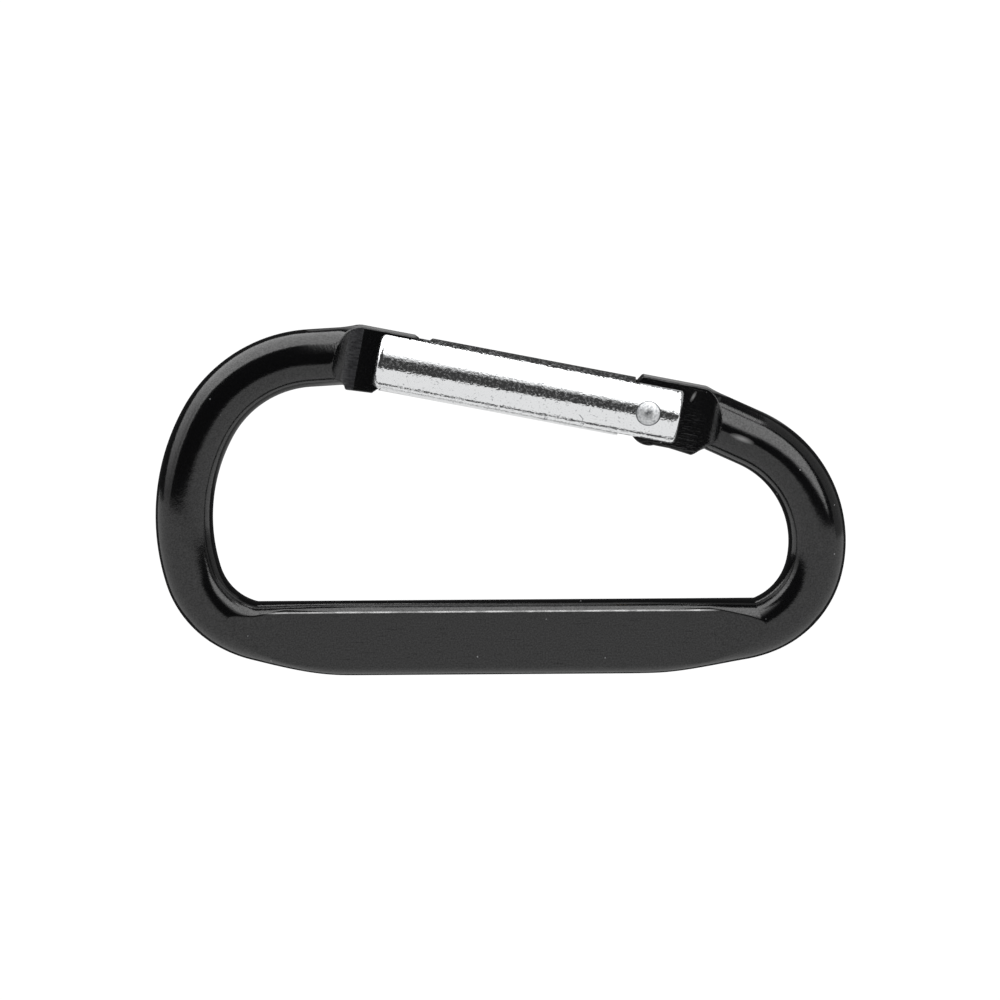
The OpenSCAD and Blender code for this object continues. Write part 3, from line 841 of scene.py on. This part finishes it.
# %% Black: gloss and relief
drag = node("MapRange", {1: 0.3, 2: 0.36, 3: -0.11, 4: 0.0}, {0: drags})
drag = node("Math", TIMES, {0: drag, 1: pressed})
mirror = node("MapRange", {1: 0.3, 2: 0.7, 3: 0.34, 4: 0.66}, {0: grain})
mirror = node("Math", PLUS, {0: mirror, 1: drag})
rough = node("Math", {"operation": "MULTIPLY_ADD", 1: 0.17, 2: 0.12}, {0: pressed})
rough = node("Math", {"operation": "MULTIPLY_ADD", 1: 0.05}, {0: milled, 2: rough})
tool = node("Math", TIMES, {0: lines, 1: milled})
bump = node("Bump", {"Distance": 0.012 * MM}, {"Height": peel})
bump = node("Bump", {"Distance": 0.004 * MM}, {"Height": grain, "Normal": bump})
bump = node("Bump", {"Distance": 0.022 * MM}, {"Height": tool, "Normal": bump})
join(shader, {"Base Color": (shade, 2), "Metallic": worn, "Specular IOR Level": mirror,
              "Roughness": rough, "Normal": bump})
print(black.name, "has", len(black.node_tree.nodes), "nodes")

# %% [markdown]
# ### Bright aluminium
# The gate is drawn rod, bright-finished and then handled. It mirrors its surroundings in bands
# along its length. A fine grain of short scratches frays the edge of every band, and flecks of
# oxide in it scatter a little light, which shows in the darkest band. The grain is drawn a little
# coarser than it really is so that it shows.

# %% Bright drawn aluminium
bright, shader, where, node = finish("bright_drawn_aluminium", Metallic=1.0)
along = node("Mapping", {"Rotation": (0, 0, -GATE_TURN)}, {"Vector": where})
short = node("Mapping", {"Scale": (0.8, 1.0, 1.0)}, {"Vector": along})
grain = node("TexNoise", {"Scale": per_mm(5.2), "Detail": 1.5, "Roughness": 0.6}, {"Vector": short})
cloud = node("TexNoise", {"Scale": per_mm(1.3), "Detail": 2.0}, {"Vector": where})
marks = node("TexVoronoi", {"Scale": per_mm(1.3), "Randomness": 1.0,
                            "feature": "DISTANCE_TO_EDGE"}, {"Vector": short})
mark = node("MapRange", {1: 0.01, 2: 0.04, 3: 1.0, 4: 0.0}, {0: (marks, "Distance")})
patch = node("MapRange", {1: 0.6, 2: 0.66}, {0: cloud})
mark = node("Math", TIMES, {0: mark, 1: patch})
dust = node("MapRange", {1: 0.66, 2: 0.74}, {0: grain})
shade = node("Mix", {"data_type": "RGBA", 6: linear("#eeeff0"), 7: linear("#86888b")}, {0: mark})
shade = node("Mix", {"data_type": "RGBA", 7: linear("#b9bbbd")}, {0: dust, 6: (shade, 2)})
rough = node("MapRange", {1: 0.3, 2: 0.7, 3: 0.03, 4: 0.07}, {0: cloud})
fleck = node("MapRange", {1: 0.5, 2: 0.66, 3: 1.0, 4: 0.86}, {0: grain})
bump = node("Bump", {"Distance": 0.018 * MM}, {"Height": grain})
join(shader, {"Base Color": (shade, 2), "Metallic": fleck, "Roughness": rough, "Normal": bump})
print(bright.name, "has", len(bright.node_tree.nodes), "nodes, grain, mm:", round(1 / 5.2, 2))

# %% [markdown]
# ### Rivet
# The rivet is soft aluminium dulled by the hammer. Its hollow middle is painted darker, as painted
# shade, and the seam round its rim is painted darker too, as painted shade.

# %% Peened aluminium
peened, shader, where, node = finish("peened_aluminium", Metallic=1.0)
grain = node("TexNoise", {"Scale": per_mm(5), "Detail": 3.0}, {"Vector": where})
mottle = node("MapRange", {1: 0.4, 2: 0.65}, {0: grain})
from_axis = node("Mapping", {"Location": (-PIVOT[0], -PIVOT[1], 0),
                             "Scale": (1.0, 1.0, 0.0)}, {"Vector": where})
from_axis = node("VectorMath", {"operation": "LENGTH"}, {0: from_axis}), "Value"
# Painted shade: the dome's hollow middle is painted darker, unevenly.
painted_middle_shade = node("MapRange", {1: 0.1 * MM, 2: 0.5 * MM, 3: 1.0, 4: 0.0}, {0: from_axis})
uneven = node("MapRange", {1: 0.35, 2: 0.6, 3: 0.45, 4: 1.0}, {0: grain})
painted_middle_shade = node("Math", TIMES, {0: painted_middle_shade, 1: uneven})
# Painted shade: a darker ring in the seam where the head meets its seat.
painted_rim_shade = node("MapRange", {1: HEAD_R - 0.11 * MM, 2: HEAD_R - 0.04 * MM, 4: 0.7}, {0: from_axis})
shade = node("Mix", {"data_type": "RGBA", 6: linear("#e4e5e6"), 7: linear("#bdbfc1")}, {0: mottle})
# Painted shade in the dome's middle.
shade = node("Mix", {"data_type": "RGBA", 7: linear("#5b5d5f")}, {0: painted_middle_shade, 6: (shade, 2)})
# Painted shade in the seam round the rim.
shade = node("Mix", {"data_type": "RGBA", 7: linear("#55575a")}, {0: painted_rim_shade, 6: (shade, 2)})
rough = node("MapRange", {1: 0.3, 2: 0.7, 3: 0.5, 4: 0.65}, {0: grain})
bump = node("Bump", {"Distance": 0.006 * MM}, {"Height": grain})
join(shader, {"Base Color": (shade, 2), "Roughness": rough, "Normal": bump})
print(peened.name, "has", len(peened.node_tree.nodes), "nodes")

# %% [markdown]
# ### Plunger and spring
# The plunger is turned brass, and its pattern is squeezed along the gate so that it makes fine
# rings. The spring is drawn steel wire, darker than the rest because it is oiled.

# %% Turned brass and spring steel
plain = []
for name, low, high, count, squeeze, dull in (
        ("turned_brass", "#b08d4a", "#d3b368", 3, (6.0, 0.3, 0.3), 0.25),
        ("spring_steel", "#6c6e70", "#9b9ea1", 4, (1.0, 1.0, 1.0), 0.3)):
    material, shader, where, node = finish(name, Metallic=1.0)
    rings = node("Mapping", {"Rotation": (0, 0, -GATE_TURN)}, {"Vector": where})
    rings = node("Mapping", {"Scale": squeeze}, {"Vector": rings})
    grain = node("TexNoise", {"Scale": per_mm(count), "Detail": 2.0}, {"Vector": rings})
    shade = node("Mix", {"data_type": "RGBA", 6: linear(low), 7: linear(high)}, {0: grain})
    rough = node("MapRange", {1: 0.3, 2: 0.7, 3: dull, 4: dull + 0.15}, {0: grain})
    join(shader, {"Base Color": (shade, 2), "Roughness": rough})
    plain.append(material)
turned_brass, spring_steel = plain
print("finishes:", [m.name for m in (black, bright, peened, turned_brass, spring_steel)])

# %% [markdown]
# ## What each piece stands for
# Each piece takes its finish, moves with its body, and replaces the CAD piece that it stands for.
# The spring rides on the gate.

# %% Finish, body and CAD piece
for piece, material, rides, stands_for, slot in (
        (body, black, "loop", "body", "black_bar"),
        (gate, bright, "gate_arm", "gate", "bright_gate"),
        (rivet, peened, "gate_arm", "rivet", "rivet_metal"),
        (spring, spring_steel, "gate_arm", "spring", "spring_wire"),
        (plunger, turned_brass, "plunger_pin", "plunger", "plunger_metal")):
    piece.data.materials.clear()
    piece.data.materials.append(material)
    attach(piece, rides)
    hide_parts(stands_for)
    print(piece.name, "rides on", rides, "and replaces", stands_for)

# %% The bore's blind end, and the spring's own mesh
blind_end = gate_point(BORE_L, 0.0, 0.0)
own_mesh(spring)

# %% [markdown]
# ## Studio
# The clip lies on a white floor under a small light tent. One soft panel stands over the spine's
# side and a brighter one over the gate's side, with an open gap between them where the camera looks
# in. Polished bar and rod show that gap as a dark band. The panels are plain glowing sheets; the
# camera doesn't see them, only their reflections.


# %% Glowing sheets
def sheet(name, rows, glow_rows):
    """A glowing sheet of the stage: rows of points in mm, and how strongly each row, or each point
    of each row, glows. The glow fades evenly from point to point."""
    points = np.array(rows, float).reshape(-1, 3) * MM
    count = len(rows[0])
    faces = [(r * count + c, r * count + c + 1, (r + 1) * count + c + 1, (r + 1) * count + c)
             for r in range(len(rows) - 1) for c in range(count - 1)]
    mesh = bpy.data.meshes.new(name)
    mesh.from_pydata(points, [], faces)
    glow = np.array(glow_rows, np.float32).reshape(len(rows), -1)
    glow = np.broadcast_to(glow, (len(rows), count)).ravel()
    mesh.attributes.new("glow", "FLOAT", "POINT").data.foreach_set("value", glow)
    piece = bpy.data.objects.new(name, mesh)
    bpy.context.scene.collection.objects.link(piece)
    material = bpy.data.materials.new(name)
    material.use_nodes = True
    tree = material.node_tree
    tree.nodes.clear()
    level = add(tree, "Attribute", {"attribute_name": "glow"})
    light = add(tree, "Emission", {"Color": linear("#ffffff")}, {"Strength": (level, "Fac")})
    add(tree, "OutputMaterial", (), {"Surface": light})
    mesh.materials.append(material)
    return piece


def at_height(z, *plan):
    """Plan points in mm, all at one height."""
    return [(x, y, z) for x, y in plan]


# Heights in mm, and how strongly each side of the tent glows
ROOF, DEEP, ON_FLOOR = 43, -140, -0.4
NORTH, CORNER, WEST, EAST, SOUTH, UNDER, GAP, WHITE = 2.7, 1.5, 0.4, 0.33, 0.85, 0.75, 0.045, 1.05

# %% The panels on the gate's side
near = at_height(ROOF, (-90, -6), (-92, 50), (-24, 80), (-16, 26), (4, 20), (16, 16), (30, 13),
                 (88, 2))
full = at_height(ROOF, (-98, -6), (-98, 56), (-24, 88), (-16, 57), (4, 51), (16, 40), (33, 20),
                 (92, 8))
far = at_height(ROOF, (-200, -6), (-200, 160), (-24, 160), (-16, 160), (4, 160), (16, 160),
                (60, 160), (110, 60))
bright_row = [WEST] + [NORTH] * 7
wall_top = at_height(ROOF, (-200, -6), (-200, 60), (-200, 160), (-24, 160), (40, 160), (115, 160))
wall_foot = [(x, y, z) for (x, y, _), z in zip(wall_top, (0, -60, DEEP, -100, -50, 0))]
unseen = [
    sheet("panel_gate_side", [near, full, far], [[GAP] * 8, bright_row, bright_row]),
    sheet("panel_gate_wall", [wall_top, wall_foot], [[WEST, CORNER] + [NORTH] * 4] * 2),
]

# %% The panels on the spine's side and the east wall
spine_rows = [at_height(ROOF, (-200, y), (200, y)) for y in (-3.5, -5.5, -180)]
spine_wall = [at_height(z, (-200, -6), (-200, -180), (200, -180), (200, -20))
              for z in (ROOF, DEEP)]
east_wall = [at_height(z, (200, -20), (200, 160), (115, 160)) for z in (ROOF, DEEP)]
unseen += [
    sheet("panel_spine_side", spine_rows, [GAP, SOUTH, SOUTH]),
    sheet("panel_spine_wall", spine_wall, [SOUTH, SOUTH]),
    sheet("panel_east_wall", east_wall, [EAST, EAST]),
]

# %% [markdown]
# Three cards lie on the floor. The one inside the loop throws light up under the inner flanks, and
# the two beside the tongues keep the gate's outer edge from going dark there.

# %% Cards and floor
card_rows = [at_height(ON_FLOOR, *((x, y) for x in (-26, -17, -13, 12, 16, 26)))
             for y in (-0.5, 2.5, 7, 10)]
card_glow = np.outer([0, 1, 1, 0], [0.35, 0.35, 1, 1, 0.35, 0.35]) * UNDER + GAP
unseen.append(sheet("card_inside_loop", card_rows, card_glow))
for name, start, stop in (("card_beside_hinge", -7, 1), ("card_beside_nose", 20.5, 31)):
    strip = [[tuple(gate_point(u * MM, v * MM, -MID_Z) / MM) for u in (start, stop)]
             for v in (2.75, 4.6)]
    unseen.append(sheet(name, strip, [0.4, 0.3]))
for piece in unseen:
    piece.visible_camera = False
floor_rows = [at_height(-0.02, (-2000, y), (2000, y)) for y in (-2000, 2000)]
floor = sheet("floor", floor_rows, [WHITE, WHITE])
floor.visible_glossy = False

# %% [markdown]
# Behind everything the world is nearly dark in reflections and plain white to the camera.

# %% World
world = bpy.data.worlds.new("tent")
bpy.context.scene.world = world
world.use_nodes = True
tree = world.node_tree
seen = add(tree, "LightPath"), "Is Camera Ray"
tone = add(tree, "MapRange", {3: GAP, 4: WHITE}, {0: seen})
join(tree.nodes["Background"], {"Strength": tone})
tree.nodes["Background"].inputs["Color"].default_value = linear("#ffffff")
print("stage:", [piece.name for piece in unseen + [floor]])
